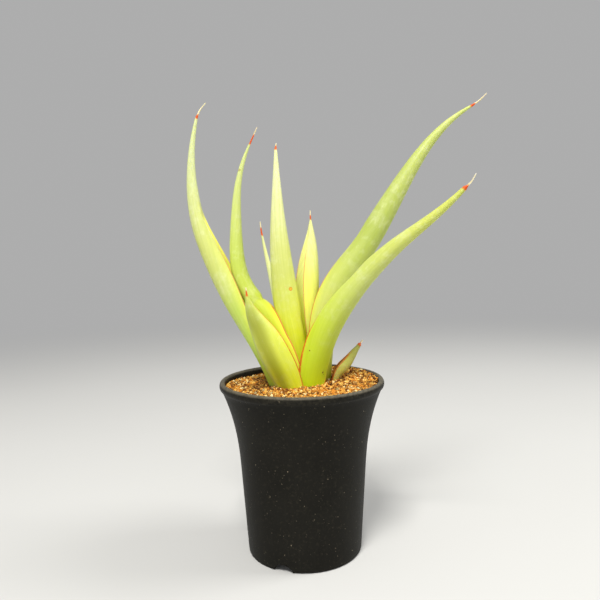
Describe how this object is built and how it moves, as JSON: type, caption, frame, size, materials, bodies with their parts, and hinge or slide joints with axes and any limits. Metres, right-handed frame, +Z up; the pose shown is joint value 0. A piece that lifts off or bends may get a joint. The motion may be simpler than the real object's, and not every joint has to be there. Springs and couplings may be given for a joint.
{
  "type": "potted snake plant",
  "caption": "Small snake plant of thick channelled leaves that close into round pointed blades, growing from granular mix in a flared nursery pot with arched foot and drain holes.",
  "frame": {"origin": "centre of the bounding box's base, on the plane that the pot's foot ring stands on; the pot's own axis stands 26.8 mm towards -X of it, because the longest leaf leans to +X", "axes": "+Z up along the pot's axis; +X towards the side that the longest leaf leans to; +Y to the back of the plant, away from the short leaf at the front left"},
  "size_m": [0.1958, 0.105, 0.2922],
  "materials": {
    "pot_plastic": "satin",
    "potting_mix_grain": "matte",
    "root_bark": "matte",
    "leaf_skin": "satin"
  },
  "bodies": {
    "root": {"pot": "pot_plastic", "potting_mix": "potting_mix_grain", "rootstock": "root_bark", "leaf_left_tall": "leaf_skin", "leaf_left_inner": "leaf_skin", "leaf_back_spire": "leaf_skin", "leaf_centre": "leaf_skin", "leaf_broad": "leaf_skin", "leaf_right_tall": "leaf_skin", "leaf_right_front": "leaf_skin", "leaf_front_short": "leaf_skin", "leaf_offset": "leaf_skin"}
  },
  "joints": []
}
